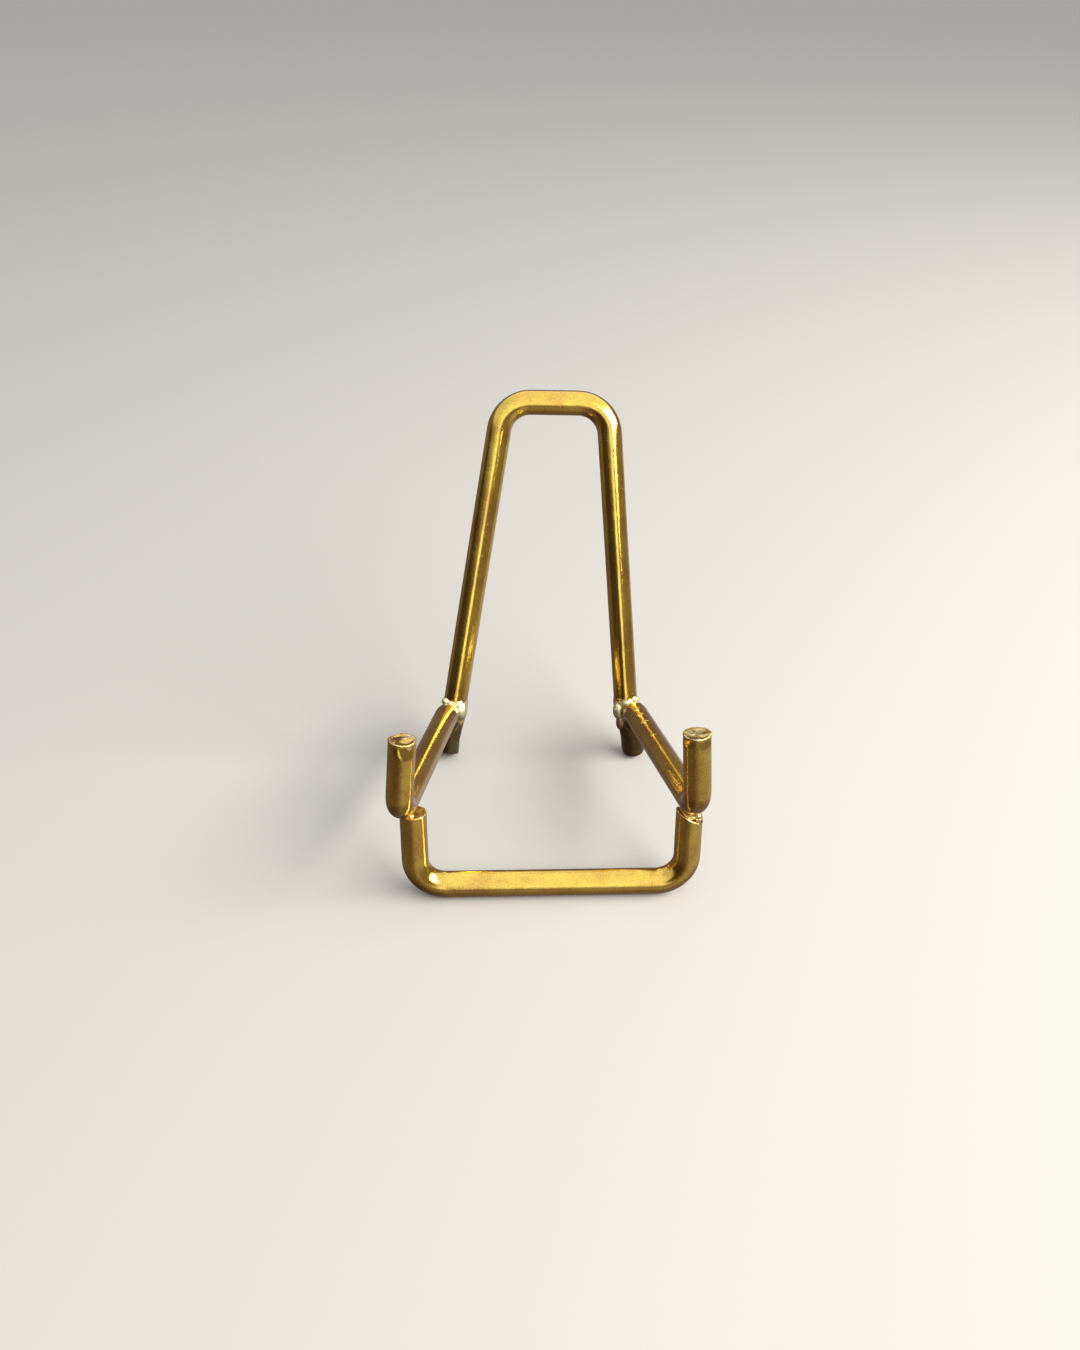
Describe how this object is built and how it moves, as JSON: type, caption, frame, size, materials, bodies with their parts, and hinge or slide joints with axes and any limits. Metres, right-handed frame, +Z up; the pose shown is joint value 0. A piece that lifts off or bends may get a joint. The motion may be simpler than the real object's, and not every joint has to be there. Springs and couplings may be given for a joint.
{
  "type": "display easel",
  "caption": "Small brass wire display easel: a leaning inverted-U back frame, two side rods with upright pegs and rear feet, and a U-shaped front support, all brazed together.",
  "frame": {"origin": "on the table under the middle of the bounding box", "axes": "+Z up, -Y towards the front bar and the pegs, +Y towards the back frame, +X to the right seen from the front"},
  "size_m": [0.0466, 0.0576, 0.059],
  "materials": {
    "brass_wire": "bright lacquered brass plating on drawn wire",
    "braze": "bright fused braze metal, plated over"
  },
  "bodies": {
    "root": {"back_frame": "brass_wire", "left_side_rod": "brass_wire", "right_side_rod": "brass_wire", "front_support": "brass_wire", "left_rear_braze": "braze", "right_rear_braze": "braze", "left_front_braze": "braze", "right_front_braze": "braze"}
  },
  "joints": []
}
